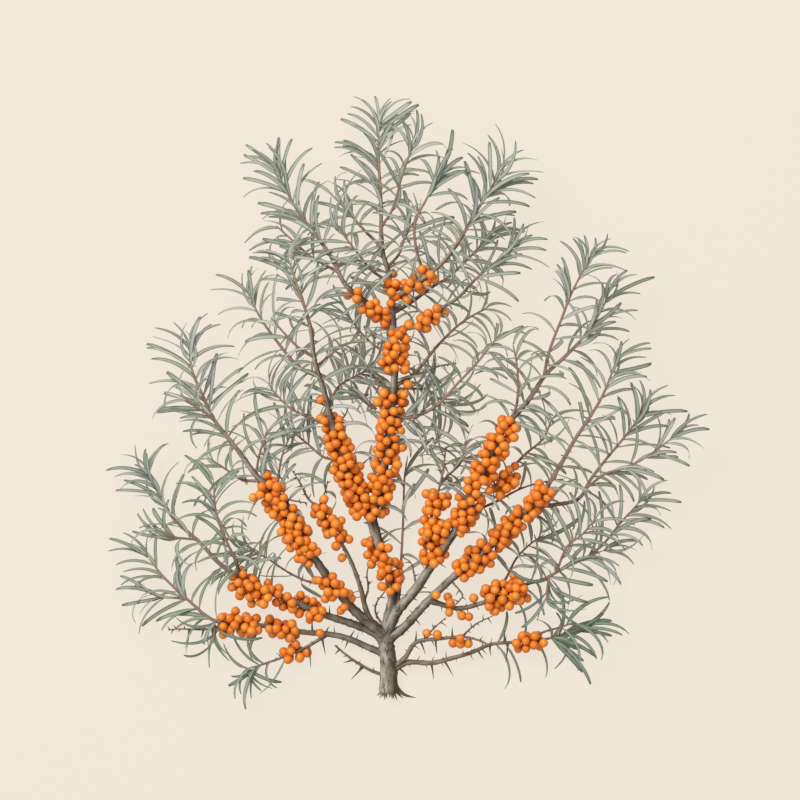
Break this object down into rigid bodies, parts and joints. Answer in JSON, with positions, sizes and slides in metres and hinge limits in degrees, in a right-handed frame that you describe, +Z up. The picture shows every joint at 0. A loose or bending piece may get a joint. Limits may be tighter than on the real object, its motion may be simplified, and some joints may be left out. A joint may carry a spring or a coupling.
{
  "type": "sea buckthorn sprig",
  "caption": "Cut sprig of sea buckthorn lying down: a branched thorny stem with narrow silvery leaves and dense bunches of round orange berries along the bare wood.",
  "frame": {"origin": "middle of the small flat spot under the thick stem, on the surface that the sprig lies on", "axes": "+Z up, away from the surface; +Y from the cut foot of the stem towards the top of the sprig; +X to the right"},
  "size_m": [0.494, 0.5193, 0.0915],
  "materials": {
    "bark": "matte grey-brown bark",
    "leaf": "silvery grey-green, finely downy",
    "berry": "orange skin with a soft sheen"
  },
  "bodies": {
    "root": {"wood": "bark", "berries_crown_top": "berry", "berries_upper_right": "berry", "berries_crown_high": "berry", "berries_middle": "berry", "berries_leader": "berry", "berries_left_third": "berry", "berries_left_inner": "berry", "berries_left_second": "berry", "berries_left_low": "berry", "berries_left_low_side": "berry", "berries_right_side_twig": "berry", "berries_right_fourth": "berry", "berries_right_fourth_side": "berry", "berries_right_third": "berry", "berries_right_second": "berry", "berries_right_low": "berry", "berries_right_lowest": "berry", "shoot_crown": "leaf", "shoot_crown_b": "leaf", "shoot_crown_c": "leaf", "shoot_crown_d": "leaf", "shoot_upper_right_a": "leaf", "shoot_upper_right_b": "leaf", "shoot_upper_right_c": "leaf", "shoot_upper_right_d": "leaf", "shoot_upper_right_e": "leaf", "shoot_upper_right_g": "leaf", "shoot_upper_right_h": "leaf", "shoot_upper_left_a": "leaf", "shoot_left_crown": "leaf", "shoot_left_crown_a": "leaf", "shoot_left_crown_b": "leaf", "shoot_left_crown_c": "leaf", "shoot_left_crown_d": "leaf", "shoot_left_crown_e": "leaf", "shoot_left_crown_f": "leaf", "shoot_middle_a": "leaf", "shoot_left_third": "leaf", "shoot_left_third_b": "leaf", "shoot_left_third_c": "leaf", "shoot_left_third_d": "leaf", "shoot_left_third_f": "leaf", "shoot_left_second": "leaf", "shoot_left_second_b": "leaf", "shoot_left_low": "leaf", "shoot_left_low_d": "leaf", "shoot_right_fourth": "leaf", "shoot_right_fourth_b": "leaf", "shoot_right_fourth_d": "leaf", "shoot_right_fourth_e": "leaf", "shoot_right_fourth_h": "leaf", "shoot_right_third": "leaf", "shoot_right_third_a": "leaf", "shoot_right_second": "leaf", "shoot_right_second_a": "leaf", "shoot_right_lowest": "leaf", "shoot_right_lowest_a": "leaf"}
  },
  "joints": []
}
